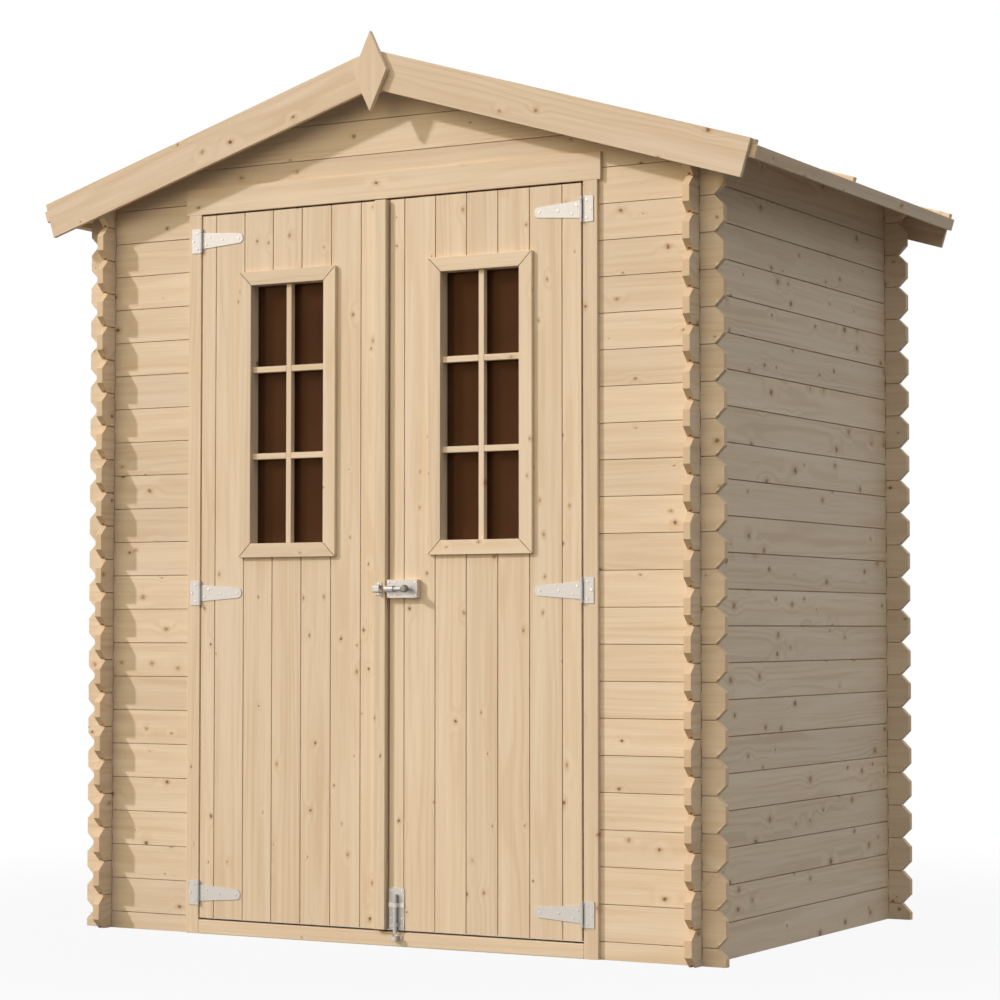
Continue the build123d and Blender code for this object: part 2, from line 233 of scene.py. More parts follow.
def planed_spruce(name, pale, late, knot_radius, run=None, sheen=0.5):
    """Planed spruce, unfinished: pale cream early wood, amber late wood in broad soft streaks along
    the board, fine fibres, and brown knots with a soft rim that the rings bend around. It is matt.
    The rings are drawn 12 mm apart and the fibres 4 mm, coarser than real ones, so that they show."""
    ring_spacing, cloud_width, streak_width, fibre_width = 0.012, 0.0625, 0.025, 0.004
    ring_turn, ring_stretch = 2 * math.pi / 20, (0.04, 1, 1)
    knot_along, knot_across, bare_share = 0.09, 0.11, 0.55
    wobble_width, wobble_reach, fibre_relief = 0.012, 0.008, 0.0003
    sway_reach, sway_scale = 0.05, (1.3, 9, 9)
    half = (0.5, 0.5, 0.5)
    material, tree, surface = new_material(name)
    surface.inputs["Specular IOR Level"].default_value = sheen
    grain = add_node(tree, "Attribute", {"attribute_name": "grain"})
    tone = add_node(tree, "Attribute", {"attribute_name": "tone"})

    # Knots: one in about half the cells, each with its own size and darkness and a long soft rim
    wobble = add_node(tree, "TexNoise", {"Scale": 1 / wobble_width, "Detail": 2},
                      {"Vector": (grain, "Vector")})
    centred = add_node(tree, "VectorMath", {"operation": "SUBTRACT", 1: half},
                       {0: (wobble, "Color")})
    warped = add_node(tree, "VectorMath",
                      {"operation": "MULTIPLY_ADD", 1: (wobble_reach, wobble_reach, 0)},
                      {0: (centred, 0), 2: (grain, "Vector")})
    knot_map = add_node(tree, "Mapping", {"Scale": (1 / knot_along, 1 / knot_across, 0)},
                        {"Vector": (warped, 0)})
    knots = add_node(tree, "TexVoronoi", {"voronoi_dimensions": "2D", "Scale": 1},
                     {"Vector": (knot_map, 0)})
    offset = add_node(tree, "VectorMath", {"operation": "SUBTRACT"},
                      {0: (knot_map, 0), 1: (knots, "Position")})
    lot = add_node(tree, "SeparateColor", {}, {"Color": (knots, "Color")})
    size = add_node(tree, "MapRange", {"From Min": bare_share, "To Min": 0.35, "To Max": 1.4},
                    {"Value": (lot, "Red")})
    present = add_node(tree, "MapRange", {"From Min": bare_share, "From Max": bare_share + 0.02},
                       {"Value": (lot, "Red")})
    reaches = []
    for along, across in ((1.15, 1), (2.2, 1.4)):
        shape = (knot_along / knot_radius / along, knot_across / knot_radius / across, 0)
        scaled = add_node(tree, "VectorMath", {"operation": "MULTIPLY", 1: shape}, {0: (offset, 0)})
        length = add_node(tree, "VectorMath", {"operation": "LENGTH"}, {0: (scaled, 0)})
        reaches.append(add_node(tree, "Math", {"operation": "DIVIDE"},
                                {0: (length, "Value"), 1: (size, "Result")}))
    dark = add_node(tree, "MapRange", {"To Min": 0.4, "To Max": 0.95}, {"Value": (lot, "Green")})
    masks = []
    for reach, near, far, strength in ((reaches[0], 0.3, 1.05, 1), (reaches[1], 0.2, 1.5, 0.5),
                                       (reaches[1], 0, 4, 6)):
        fall = add_node(tree, "MapRange",
                        {"interpolation_type": "SMOOTHSTEP", "From Min": near, "From Max": far,
                         "To Min": strength, "To Max": 0}, {"Value": (reach, 0)})
        masks.append(add_node(tree, "Math", {"operation": "MULTIPLY"},
                              {0: (fall, "Result"), 1: (present, "Result")}))
    core = add_node(tree, "Math", {"operation": "MULTIPLY"},
                    {0: (masks[0], 0), 1: (dark, "Result")})
    rim, bend = masks[1:]

    # Rings, cut lengthwise by the board, and clouds, broad streaks and fine fibres along it
    slow = add_node(tree, "Mapping", {"Scale": sway_scale}, {"Vector": (grain, "Vector")})
    sway = add_node(tree, "TexNoise", {"Scale": 1, "Detail": 2}, {"Vector": (slow, 0)})
    centred = add_node(tree, "VectorMath", {"operation": "SUBTRACT", 1: half}, {0: (sway, "Color")})
    swayed = add_node(tree, "VectorMath", {"operation": "MULTIPLY_ADD", 1: (0, sway_reach, sway_reach)},
                      {0: (centred, 0), 2: (grain, "Vector")})
    drawn = add_node(tree, "Mapping", {"Scale": ring_stretch}, {"Vector": (swayed, 0)})
    rings = add_node(tree, "TexWave",
                     {"wave_type": "RINGS", "rings_direction": "X", "Scale": ring_turn / ring_spacing,
                      "Distortion": 1.5, "Detail": 1, "Detail Scale": 0.5},
                     {"Vector": (drawn, 0), "Phase Offset": (bend, 0)})
    late_wood = add_node(tree, "MapRange", {"interpolation_type": "SMOOTHSTEP", "From Min": 0.35},
                         {"Value": (rings, "Fac")})
    noises, marks = [], []
    for along, width, low, high, most in ((1.8, cloud_width, 0.35, 0.72, 0.45),
                                          (1.2, streak_width, 0.42, 0.72, 0.4),
                                          (5, fibre_width, 0.42, 0.75, 0.16)):
        scale = add_node(tree, "Mapping", {"Scale": (along, 1 / width, 1 / width)},
                         {"Vector": (grain, "Vector")})
        noises.append(add_node(tree, "TexNoise", {"Scale": 1, "Detail": 3}, {"Vector": (scale, 0)}))
        marks.append(add_node(tree, "MapRange", {"From Min": low, "From Max": high, "To Max": most},
                              {"Value": (noises[-1], "Fac")}))
    cloud, streak, fibre = marks
    lines = add_node(tree, "Math", {"operation": "MULTIPLY"},
                     {0: (late_wood, "Result"), 1: (cloud, "Result")})
    colour = add_node(tree, "Mix", {"data_type": "RGBA", 6: linear(pale), 7: linear(late)},
                      {0: (lines, 0)})
    for mask, code in ((cloud, "#DCC5A4"), (streak, "#D2B48F"), (fibre, "#BE9C6E"), (rim, "#BC9562"),
                       (core, "#68452A")):
        colour = add_node(tree, "Mix", {"data_type": "RGBA", 7: linear(code)},
                          {0: (mask, 0), 6: (colour, 2)})

    # Sawn ends, where the boards run one way only: end grain is darker and warmer than a planed face
    if run:
        facing = add_node(tree, "NewGeometry", {})
        turned = add_node(tree, "VectorMath", {"operation": "DOT_PRODUCT", 1: run},
                          {0: (facing, "Normal")})
        endways = add_node(tree, "Math", {"operation": "ABSOLUTE"}, {0: (turned, "Value")})
        sawn = add_node(tree, "MapRange", {"From Min": 0.4, "From Max": 0.7, "To Max": 0.85},
                        {"Value": (endways, 0)})
        colour = add_node(tree, "Mix", {"data_type": "RGBA", 7: linear("#D6B993")},
                          {0: (sawn, 0), 6: (colour, 2)})
    level = add_node(tree, "MapRange", {"To Min": 0.93, "To Max": 1.05}, {"Value": (tone, "Fac")})
    colour = add_node(tree, "HueSaturation", {}, {"Value": (level, "Result"), "Color": (colour, 2)})
    rough = add_node(tree, "MapRange", {"To Min": 0.5, "To Max": 0.68},
                     {"Value": (noises[2], "Fac")})
    bump = add_node(tree, "Bump", {"Strength": 0.2, "Distance": fibre_relief},
                    {"Height": (noises[2], "Fac")})
    feed(surface, {"Base Color": (colour, "Color"), "Roughness": (rough, "Result"),
                   "Normal": (bump, "Normal")})
    return material


def tongued_board(name, start, end, height, thickness, tongue=True, groove=True, gap=seam_gap):
    """A board along X with its face towards -Y, from the seam below it to the seam above it."""
    board = sawn_block(name, (start, 0, 0), (end, thickness, height - gap))
    third = thickness / 3
    for depth in (third, 2 * third):
        saw_off(board, (0, depth, 0), (0, 1, 0), through=False)
    for wanted, up, way in ((tongue, 1, gap + tongue_height), (groove, -1, groove_depth)):
        if wanted:
            push_faces(board, lambda place, normal: up * normal.z > 0.9
                       and third < place.y < 2 * third, (0, 0, way))
    return board


def crop_stub(board, end, height, upper=True, lower=True):
    """Saws the corners off a board's end."""
    outward = math.copysign(1, end)
    for wanted, edge, up in ((upper, height, 1), (lower, 0, -1)):
        if wanted:
            saw_off(board, (end - outward * stub_chamfer, 0, edge), (outward, 0, up))


def notch(board, crossings, height, upper=True, lower=True):
    """Cuts the notches in which the boards of the other wall sit."""
    spare = 0.02
    for near, far in crossings:
        for wanted, low, high in ((upper, height - notch_depth, height + spare),
                                  (lower, -spare, notch_depth)):
            if wanted:
                rout(board, ((near - notch_play, -spare, low),
                             (far + notch_play, board_thickness + spare, high)))


def stack(board, courses, place, cover=board_cover):
    """Copies of one board, each in its own course and with its own grain."""
    boards = []
    for course in courses:
        copy = another(board)
        stamp_grain(copy, 0, 2)
        copy.data.transform(place @ Matrix.Translation((0, 0, course * cover)))
        boards.append(copy)
    return boards


side_crossings = [(front_face, front_face + board_thickness),
                  (half_depth - board_thickness, half_depth)]
side_board = tongued_board("side_board", -side_reach, side_reach, board_cover, board_thickness,
                           gap=side_gap)
top_height = board_cover + board_thickness * slope_rise
top_board = tongued_board("top_board", -side_reach, side_reach, top_height + side_gap, board_thickness,
                          tongue=False, gap=side_gap)
saw_off(top_board, (0, 0, board_cover), (0, -slope_sin, slope_cos))
for board in (side_board, top_board):
    for end in (-side_reach, side_reach):
        crop_stub(board, end, board_cover)
    notch(board, side_crossings, board_cover)
    ease(board, board_edge)

side_spruce = planed_spruce("planed_spruce_side", "#E6D4BA", "#A9835A", 0.008, (0, 1, 0))
for side, turn in sides:
    place = Matrix.Translation((side * half_width, 0, 0)) @ Matrix.Rotation(side * math.pi / 2, 4, "Z")
    boards = stack(side_board, range(side_courses - 1), place)
    boards += stack(top_board, [side_courses - 1], place)
    fit(f"{turn}_wall_boards", boards, side_spruce, "shed", "wall_boards", f"{turn}_wall")
clear_away(side_board, top_board)

# Front and back walls
# The same boards, laid half a board higher than those of the sides, so each wall starts with a half
# board. In front they stop in the grooves of the door jambs, and the gables are sawn to the roof
# slope and let in round the ridge purlin.
door_courses, gable_rows = 21, 4
front_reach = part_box("back_wall")[1].x
doorway_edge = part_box("front_wall_right")[0].x
half_board = board_cover / 2
purlin_low, purlin_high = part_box("ridge_purlin")
ridge_underside = purlin_high.z
front_crossings = {-1: (-half_width, board_thickness - half_width),
                   1: (half_width - board_thickness, half_width)}
front_place = Matrix.Translation((0, front_face, 0))
back_place = Matrix.Translation((0, half_depth, 0)) @ Matrix.Rotation(math.pi, 4, "Z")
raised = Matrix.Translation((0, 0, half_board))
front_spruce = planed_spruce("planed_spruce_front", "#E7D4B8", "#C8A77E", 0.005, (1, 0, 0))


def crossing_board(name, start, end, height, ends, lower=True):
    """A front or back board with stubs at the named ends."""
    board = tongued_board(name, start, end, height, board_thickness, groove=lower)
    for side in ends:
        crop_stub(board, side * front_reach, height, lower=lower)
    notch(board, [front_crossings[side] for side in ends], height, lower=lower)
    ease(board, board_edge)
    return board


def lower_wall(start, end, ends, place):
    """The boards of a front or back wall up to its gable, on a half board."""
    foot = crossing_board("foot_board", start, end, half_board, ends, lower=False)
    board = crossing_board("crossing_board", start, end, board_cover, ends)
    boards = stack(foot, [0], place) + stack(board, range(door_courses), place @ raised)
    clear_away(foot, board)
    return boards


for side, turn in sides:
    boards = lower_wall(*sorted((side * doorway_edge, side * front_reach)), [side], front_place)
    fit(f"front_{turn}_boards", boards, front_spruce, "shed", "wall_boards", f"front_wall_{turn}")

back_boards = lower_wall(-front_reach, front_reach, [-1, 1], back_place)
gable_boards = []
for course in range(door_courses, door_courses + gable_rows):
    base = half_board + course * board_cover
    board = tongued_board("gable_board", -front_reach, front_reach, board_cover, board_thickness)
    if course == door_courses:
        for side in (-1, 1):
            crop_stub(board, side * front_reach, board_cover, upper=False)
        notch(board, front_crossings.values(), board_cover, upper=False)
    for side in (-1, 1):
        saw_off(board, (0, 0, ridge_underside - base), (side * slope_sin, 0, slope_cos))
    if base + board_cover > purlin_low.z:
        rout(board, ((purlin_low.x, -board_cover, purlin_low.z - base),
                     (purlin_high.x, board_cover, purlin_high.z + board_cover)))
    ease(board, board_edge)
    gable_boards += stack(board, [course], front_place @ raised)
    back_boards += stack(board, [course], back_place @ raised)
    clear_away(board)
fit("front_gable_boards", gable_boards, front_spruce, "shed", "wall_boards", "front_gable")
fit("back_wall_boards", back_boards, front_spruce, "shed", "wall_boards", "back_wall")

# Ridge purlin
# A squared spruce beam from gable to gable that carries the roof boards along the ridge. Its top
# is planed to the two slopes, and its ends come out under the overhang behind the barge boards.
timber_edge = 0.0015
roof_spruce = planed_spruce("planed_spruce_roof", "#E9D6BC", "#C8A77E", 0.005, sheen=0.2)
purlin = sawn_block("purlin", purlin_low, purlin_high)
for side in (-1, 1):
    saw_off(purlin, (0, 0, purlin_high.z), (side * slope_sin, 0, slope_cos))
plane(purlin, timber_edge, 1, 0)
fit("ridge_beam", [purlin], roof_spruce, "shed", "roof_timber", "ridge_purlin")

# Roof boards
# Tongued and grooved boards, 16 mm thick, nailed side by side from the ridge down to the eaves. The
# two slopes meet in a plumb joint over the purlin, and the boards run out past all four walls.
roof_boards = 15
deck_thickness = 0.016
deck_low, deck_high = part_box("roof_deck_right")
deck_run = deck_high.y - deck_low.y
deck_length = (deck_high.x - deck_thickness * slope_sin) / slope_cos
roof_cover = deck_run / roof_boards
ridge_spare = 0.03


def on_slope(side):
    """From places along a slope, below its boards' upper face and across it, to the shed's frame."""
    down = Vector((side * slope_cos, 0, -slope_sin))
    inward = Vector((-side * slope_sin, 0, -slope_cos))
    ridge = Vector((0, deck_low.y if side > 0 else deck_high.y, ridge_underside))
    rows = zip(down, inward, down.cross(inward), ridge - inward * deck_thickness)
    return Matrix([list(row) for row in rows] + [[0, 0, 0, 1]])


def plumb_ridge(piece):
    """Saws the upper end plumb, where the two slopes meet."""
    saw_off(piece, (0, deck_thickness, 0), (-slope_cos, slope_sin, 0))


roof_board = tongued_board("roof_board", -ridge_spare, deck_length, roof_cover, deck_thickness)
last_board = tongued_board("last_board", -ridge_spare, deck_length, roof_cover + seam_gap,
                           deck_thickness, tongue=False)
for pattern in (roof_board, last_board):
    plumb_ridge(pattern)
    ease(pattern, board_edge)
for side, turn in sides:
    boards = stack(roof_board, range(roof_boards - 1), on_slope(side), roof_cover)
    boards += stack(last_board, [roof_boards - 1], on_slope(side), roof_cover)
    fit(f"roof_{turn}_boards", boards, roof_spruce, "shed", "roof_timber", f"roof_deck_{turn}")
clear_away(roof_board, last_board)

# Eave boards and roof battens
# A narrow board closes the ends of the roof boards at each eave. Three flat battens run down each
# slope, one along each gable and one near the middle, nailed through the roof boards.
fascia_height, fascia_thickness = 0.0315, 0.017
batten_width, batten_thickness, middle_batten, batten_setback = 0.020, 0.0125, 0.617, 0.010
eave_end = deck_length + fascia_thickness
for side, turn in sides:
    fascia = sawn_block("fascia", (deck_length, 0, 0), (eave_end, fascia_height, deck_run))
    plane(fascia, timber_edge, 2, 1)
    fascia.data.transform(on_slope(side))
    fit(f"eave_board_{turn}", [fascia], roof_spruce, "shed", "roof_timber", f"eave_fascia_{turn}")
    middle = middle_batten if side > 0 else deck_run - middle_batten
    battens = []
    for start in (0, middle - batten_width / 2, deck_run - batten_width):
        batten = sawn_block("batten", (-ridge_spare, -batten_thickness, start),
                            (eave_end - batten_setback, 0, start + batten_width))
        plumb_ridge(batten)
        plane(batten, timber_edge, 0, 2)
        batten.data.transform(on_slope(side))
        battens.append(batten)
    fit(f"battens_{turn}", battens, roof_spruce, "shed", "roof_timber", f"roof_battens_{turn}")

# Barge boards and finials
# A planed board covers the ends of the purlin, roof boards and battens along each gable slope, with
# a plumb joint at the top and a square end at the eave. A sawn diamond is nailed over each joint.
barge_width, barge_thickness = 0.0945, 0.012
barge_top = deck_thickness + batten_thickness
for end, (near, far) in {"front": (deck_low.y - barge_thickness, deck_low.y),
                         "back": (deck_high.y, deck_high.y + barge_thickness)}.items():
    for side, turn in sides:
        barge = sawn_block("barge", (-ridge_spare, 0, barge_top - barge_width),
                           (deck_length, barge_thickness, barge_top))
        saw_off(barge, (0, 0, 0), (-slope_cos, 0, -slope_sin))
        plane(barge, timber_edge, 0, 2)
        rows = zip((side * slope_cos, 0, -slope_sin), (0, side, 0), (side * slope_sin, 0, slope_cos),
                   (0, near if side > 0 else far, ridge_underside))
        barge.data.transform(Matrix([list(row) for row in rows] + [[0, 0, 0, 1]]))
        fit(f"{end}_barge_board_{turn}", [barge], roof_spruce, "shed", "roof_timber",
            f"{end}_barge_{turn}")
    low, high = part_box(f"{end}_finial")
    finial = sawn_block("finial", low, high)
    middle = (low + high) / 2
    for side in (-1, 1):
        for upper in (-1, 1):
            saw_off(finial, (side * high.x, middle.y, middle.z),
                    (side * (high.z - middle.z), 0, upper * high.x))
    plane(finial, timber_edge, 2, 0)
    fit(f"{end}_diamond", [finial], roof_spruce, "shed", "roof_timber", f"{end}_finial")

# Door frame
# Spruce jambs and a head with a groove in their outer side, pushed over the cut ends of the wall
# boards, and a threshold board between the jambs. The head laps over the jambs in front.
spare = 0.01
threshold_edge = 0.003
board_back = front_face + board_thickness
head_low, head_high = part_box("door_head")
door_spruce = planed_spruce("planed_spruce_door", "#E7D4B8", "#C8A77E", 0.004)
for side, turn in sides:
    low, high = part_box(f"door_jamb_{turn}")
    jamb = sawn_block("jamb", low, high)
    start, end = sorted((side * doorway_edge, side * (front_reach + spare)))
    rout(jamb, ((start, front_face, -spare), (end, board_back, high.z + spare)),
         ((low.x - spare, low.y - spare, head_low.z), (high.x + spare, front_face, high.z + spare)))
    plane(jamb, timber_edge, 2, 0)
    fit(f"jamb_{turn}", [jamb], door_spruce, "shed", "door_timber", f"door_jamb_{turn}")

jamb_low, jamb_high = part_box("door_jamb_right")
doorway_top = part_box("front_wall_right")[1].z
rear_top = jamb_high.z + jamb_high.x - jamb_low.x
left, right, behind = head_low.x - spare, head_high.x + spare, head_high.y + spare
bottom, top = head_low.z - spare, head_high.z + spare
rear_start = board_back - spare / 2
head = sawn_block("head", head_low, head_high)
rout(head, ((left, front_face, bottom), (right, behind, jamb_high.z)),
     ((left, front_face, doorway_top), (right, board_back, top)),
     ((left, rear_start, rear_top), (right, behind, top)),
     ((left, front_face, bottom), (-doorway_edge, board_back, top)),
     ((doorway_edge, front_face, bottom), (right, board_back, top)),
     ((left, rear_start, bottom), (-jamb_high.x, behind, top)),
     ((jamb_high.x, rear_start, bottom), (right, behind, top)))
plane(head, timber_edge, 0, 2)
fit("head", [head], door_spruce, "shed", "door_timber", "door_head")

threshold = plane(sawn_block("threshold", *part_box("door_threshold")), threshold_edge, 0, 2)
fit("threshold", [threshold], door_spruce, "shed", "door_timber", "door_threshold")

# Door leaves
# Upright tongued boards, 15 mm thick, nailed to three ledges on the inside. Each leaf has a window
# opening cut through its middle boards, and the left leaf carries a strip that covers the joint.
leaf_seams = {
    "left": [-0.5134, -0.4241, -0.3362, -0.2480, -0.1587, -0.0700],
    "right": [0.0581, 0.1472, 0.2357, 0.3241, 0.4124, 0.5020],
}
leaf_gap, strip_edge = 0.0024, 0.002
ledge_width, middle_hinge = 0.070, 0.876
upright = Matrix.Rotation(-math.pi / 2, 4, "Y")
for turn, seams in leaf_seams.items():
    low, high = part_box(f"{turn}_door_leaf")
    glass_low, glass_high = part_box(f"{turn}_window_glass")
    edges = [low.x] + seams + [high.x]
    boards = []
    for left, right in zip(edges, edges[1:]):
        outer = left == low.x
        width = right - left + (leaf_gap if outer else 0)
        board = tongued_board("door_board", 0, high.z - low.z, width, high.y - low.y,
                              tongue=not outer, groove=right != high.x, gap=leaf_gap)
        board.data.transform(Matrix.Translation((right, low.y, low.z)) @ upright)
        if left < glass_high.x and right > glass_low.x:
            rout(board, ((glass_low.x, low.y - spare, glass_low.z),
                         (glass_high.x, high.y + spare, glass_high.z)))
        boards.append(plane(board, board_edge, 2, 0))
    fit(f"{turn}_leaf_boards", boards, door_spruce, f"{turn}_door", "door_timber", f"{turn}_door_leaf")

    ledge_low, ledge_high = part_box(f"{turn}_door_ledges")
    ledges = []
    for height in (ledge_low.z + ledge_width / 2, middle_hinge, ledge_high.z - ledge_width / 2):
        ledge = sawn_block("ledge", (ledge_low.x, ledge_low.y, height - ledge_width / 2),
                           (ledge_high.x, ledge_high.y, height + ledge_width / 2))
        ledges.append(plane(ledge, threshold_edge, 0, 2))
    fit(f"{turn}_ledges", ledges, door_spruce, f"{turn}_door", "door_timber", f"{turn}_door_ledges")

strip = plane(sawn_block("strip", *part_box("meeting_strip")), strip_edge, 2, 0)
fit("joint_strip", [strip], door_spruce, "left_door", "door_timber", "meeting_strip")

# Window frames, bars and glass
# Flat mitred frames are nailed round each opening on both faces of the leaf. One upright and two
# level glazing bars are let into the sides of the opening, and a thin sheet of brown tinted glass
# sits a little behind them.
trim_edge, mitre_gap = 0.0015, 0.0004
bar_width, bar_depth, bar_setback, bar_edge = 0.0155, 0.016, 0.024, 0.0015
bar_heights = (1.225, 1.448)
pane_edge = 0.0003
ripple_width = 1 / 9

# Tinted float glass: dark brown and smooth, with a slow ripple and a faint warm gloss. The lighter
# brown patches that follow the ripple are painted reflection
tinted_glass, tree, pane = new_material("brown_tinted_glass")
spot = add_node(tree, "TexCoord", {})
ripple = add_node(tree, "TexNoise", {"Scale": 1 / ripple_width, "Detail": 1},
                  {"Vector": (spot, "Object")})
# Dark brown tint, with lighter brown patches of painted reflection mixed in by the ripple
tint_and_painted_reflection = add_node(tree, "Mix", {"data_type": "RGBA", 6: linear("#3C2316"), 7: linear("#523626")},
                 {0: (ripple, "Fac")})
wave = add_node(tree, "Bump", {"Strength": 0.05, "Distance": 0.001}, {"Height": (ripple, "Fac")})
feed(pane, {"Base Color": (tint_and_painted_reflection, 2), "Normal": (wave, "Normal")})
for socket, value in {"Roughness": 0.03, "IOR": 1.52, "Alpha": 0.85, "Specular IOR Level": 0.15,
                      "Specular Tint": linear("#C08A58")}.items():
    pane.inputs[socket].default_value = value

for turn in ("left", "right"):
    body = f"{turn}_door"
    leaf_low, leaf_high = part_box(f"{turn}_door_leaf")
    frame_low, frame_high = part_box(f"{turn}_window_frame")
    glass_low, glass_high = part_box(f"{turn}_window_glass")
    trim_width = glass_low.x - frame_low.x
    trims = []
    for near, far in ((frame_low.y, leaf_low.y), (leaf_high.y, frame_high.y)):
        for side, edge in ((-1, frame_low), (1, frame_high)):
            start, end = sorted((edge.x, edge.x - side * trim_width))
            stile = sawn_block("stile", (start, near, frame_low.z), (end, far, frame_high.z))
            for end, up in ((frame_low.z, -1), (frame_high.z, 1)):
                saw_off(stile, (edge.x + side * mitre_gap, near, end - up * mitre_gap), (-side, 0, up))
            trims.append(plane(stile, trim_edge, 2, 0))
            start, end = sorted((edge.z, edge.z - side * trim_width))
            rail = sawn_block("rail", (frame_low.x, near, start), (frame_high.x, far, end))
            for end, out in ((frame_low.x, -1), (frame_high.x, 1)):
                saw_off(rail, (end - out * mitre_gap, near, edge.z + side * mitre_gap), (out, 0, -side))
            trims.append(plane(rail, trim_edge, 0, 2))
    fit(f"{turn}_window_trim", trims, door_spruce, body, "door_timber", f"{turn}_window_frame")

    centre = (glass_low.x + glass_high.x) / 2
    bar_left, bar_right = centre - bar_width / 2, centre + bar_width / 2
    bar_front = glass_low.y - bar_setback
    bar_back = bar_front + bar_depth
    upright_bar = sawn_block("bar", (bar_left, bar_front, glass_low.z),
                             (bar_right, bar_back, glass_high.z))
    bars = [upright_bar]
    for height in bar_heights:
        for start, end in ((glass_low.x, bar_left), (bar_right, glass_high.x)):
            bars.append(sawn_block("bar", (start, bar_front, height - bar_width / 2),
                                   (end, bar_back, height + bar_width / 2)))
    for bar in bars:
        ease(bar, bar_edge, 3)
        stamp_grain(bar, *((2, 0) if bar is upright_bar else (0, 2)))
    fit(f"{turn}_glazing_bars", bars, door_spruce, body, "door_timber")

    sheet = sawn_block("sheet", glass_low, glass_high)
    ease(sheet, pane_edge, 1)
    fit(f"{turn}_pane", [sheet], tinted_glass, body, "tinted_glass", f"{turn}_window_glass")

# T hinges
# Pressed from 2 mm steel sheet and zinc plated. On the jamb sits a plate with two rolled knuckles,
# on the leaf a long tapered strap with one, and they turn on a common pin. Small screws hold both.
steel, metal_edge = 0.002, 0.0003
hinge_heights = (0.105, middle_hinge, 1.793)
pin_place, pin_radius, bore_radius = 0.5575, 0.0018, 0.0021
knuckle_radius, knuckle_lift, knuckle_gap = 0.0035, 0.0005, 0.0005
strap_length, strap_root, strap_tip = 0.129, 0.043, 0.024
plate_start, plate_end, plate_height, plate_corner = 0.0045, 0.0315, 0.063, 0.002
leaf_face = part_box("right_door_leaf")[0].y
plate_screws = [(0.0145, 0.021), (0.0255, 0), (0.0145, -0.021)]
strap_screws = [(-0.116, 0), (-0.064, 0), (-0.026, -0.009), (-0.013, 0.010)]
screw_turns = random.Random(5)


def plated_steel(name, bright, dull, low_gloss, high_gloss):
    """Steel sheet with a bright zinc plating: pale and silvery, with faint clouds and rolling lines
    where the plating is thicker. The clouds are 6 mm wide and the lines 0.8 mm."""
    cloud_width, line_width, line_length, line_relief = 0.006, 0.0008, 1 / 60, 0.0001
    material, tree, surface = new_material(name)
    surface.inputs["Metallic"].default_value = 1
    place = add_node(tree, "TexCoord", {})
    clouds = add_node(tree, "TexNoise", {"Scale": 1 / cloud_width, "Detail": 3},
                      {"Vector": (place, "Object")})
    colour = add_node(tree, "Mix", {"data_type": "RGBA", 6: linear(bright), 7: linear(dull)},
                      {0: (clouds, "Fac")})
    line_map = add_node(tree, "Mapping", {"Scale": (1 / line_length, 1 / line_width, 1 / line_width)},
                        {"Vector": (place, "Object")})
    lines = add_node(tree, "TexNoise", {"Scale": 1, "Detail": 2}, {"Vector": (line_map, 0)})
    gloss = add_node(tree, "MapRange", {"To Min": low_gloss, "To Max": high_gloss},
                     {"Value": (lines, "Fac")})
    bump = add_node(tree, "Bump", {"Strength": 0.1, "Distance": line_relief},
                    {"Height": (lines, "Fac")})
    feed(surface, {"Base Color": (colour, 2), "Roughness": (gloss, "Result"),
                   "Normal": (bump, "Normal")})
    return material


def turned_rod(name, radius, start, end, sides=32):
    """A round bar between two points."""
    bpy.ops.object.select_all(action="DESELECT")
    start, end = Vector(start), Vector(end)
    turn = (end - start).to_track_quat("Z", "Y").to_euler()
    bpy.ops.mesh.primitive_cylinder_add(vertices=sides, radius=radius, depth=(end - start).length,
                                        location=(start + end) / 2, rotation=turn)
    bpy.ops.object.transform_apply(location=True, rotation=True, scale=True)
    piece = bpy.context.object
    piece.name = piece.data.name = name
    return piece


def round_edges(piece, wanted, radius, steps):
    """Rounds the edges that are wanted by their two ends."""
    open_up(piece)
    bpy.ops.mesh.select_all(action="DESELECT")
    bpy.ops.mesh.select_mode(type="EDGE")
    shape = bmesh.from_edit_mesh(piece.data)
    for edge in shape.edges:
        edge.select_set(wanted(edge.verts[0].co, edge.verts[1].co))
    bmesh.update_edit_mesh(piece.data)
    bpy.ops.mesh.bevel(offset=radius, segments=steps, affect="EDGES")
    bpy.ops.object.mode_set(mode="OBJECT")


def screw_head():
    """A small pan head with a cross, facing -Y, its foot at the origin."""
    head_radius, head_height, head_rounding = 0.003, 0.0011, 0.0006
    slot_length, slot_width, slot_depth = 0.0038, 0.0008, 0.0006
    top = -head_height
    head = turned_rod("screw", head_radius, (0, 0, 0), (0, top, 0), 20)
    round_edges(head, lambda a, b: max(a.y, b.y) < 0.9 * top, head_rounding, 2)
    for length, width in ((slot_length, slot_width), (slot_width, slot_length)):
        rout(head, ((-length / 2, top - slot_depth, -width / 2),
                    (length / 2, top + slot_depth, width / 2)))
    return head


def screws_at(places, out):
    """Screws at places across and up, standing out from a face, each turned as it came to rest."""
    driven = []
    for across, up in places:
        screw = another(screw_pattern)
        turn = Matrix.Rotation(screw_turns.uniform(0, math.pi / 2), 4, "Y")
        screw.data.transform(Matrix.Translation((across, out, up)) @ turn)
        driven.append(screw)
    return driven


zinc = plated_steel("zinc_plated_steel", "#BAB8B6", "#AAA8A7", 0.5, 0.64)
# A paler and smoother copy of the zinc plating for screw heads and the pressed band: its paler colour
# is painted highlight
painted_highlight_zinc = plated_steel("zinc_with_painted_highlight", "#CFCDC9", "#C0BEBA", 0.3, 0.42)
screw_pattern = screw_head()
screw_pattern.data.materials.append(painted_highlight_zinc)

